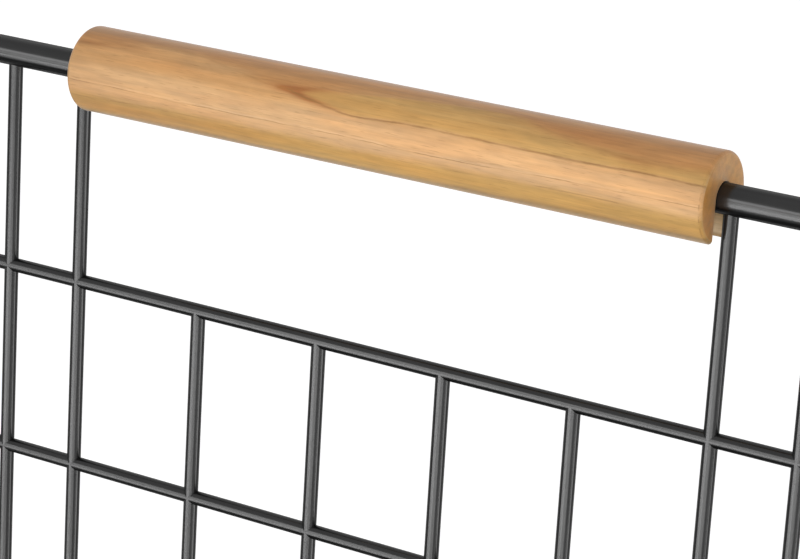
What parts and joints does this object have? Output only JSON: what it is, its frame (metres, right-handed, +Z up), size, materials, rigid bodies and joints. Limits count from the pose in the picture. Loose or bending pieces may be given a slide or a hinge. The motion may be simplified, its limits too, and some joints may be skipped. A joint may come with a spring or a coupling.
{
  "type": "metal storage basket",
  "caption": "Rectangular welded wire storage basket, open at the top, with slotted round wooden handles over the rim above hand holes.",
  "frame": {"origin": "centre of the footprint, on the surface that the basket stands on", "axes": "+X along the basket, parallel to its handles, +Y across it towards the back handle, +Z up"},
  "size_m": [0.406, 0.318, 0.1954],
  "materials": {
    "black_coat": "satin black powder coat on steel rod",
    "handle_wood": "clear satin lacquer on light brown streaked wood"
  },
  "bodies": {
    "root": {"rim_rod": "black_coat", "row_rod_1": "black_coat", "row_rod_2": "black_coat", "row_rod_3": "black_coat", "row_rod_4": "black_coat", "cross_rod_01": "black_coat", "cross_rod_02": "black_coat", "cross_rod_03": "black_coat", "cross_rod_04": "black_coat", "cross_rod_05": "black_coat", "cross_rod_06": "black_coat", "cross_rod_07": "black_coat", "cross_rod_08": "black_coat", "cross_rod_09": "black_coat", "cross_rod_10": "black_coat", "cross_rod_11": "black_coat", "cross_rod_12": "black_coat", "length_rod_01": "black_coat", "length_rod_02": "black_coat", "length_rod_03": "black_coat", "length_rod_04": "black_coat", "length_rod_05": "black_coat", "length_rod_06": "black_coat", "length_rod_07": "black_coat", "length_rod_08": "black_coat", "handle_back": "handle_wood", "handle_front": "handle_wood"}
  },
  "joints": []
}
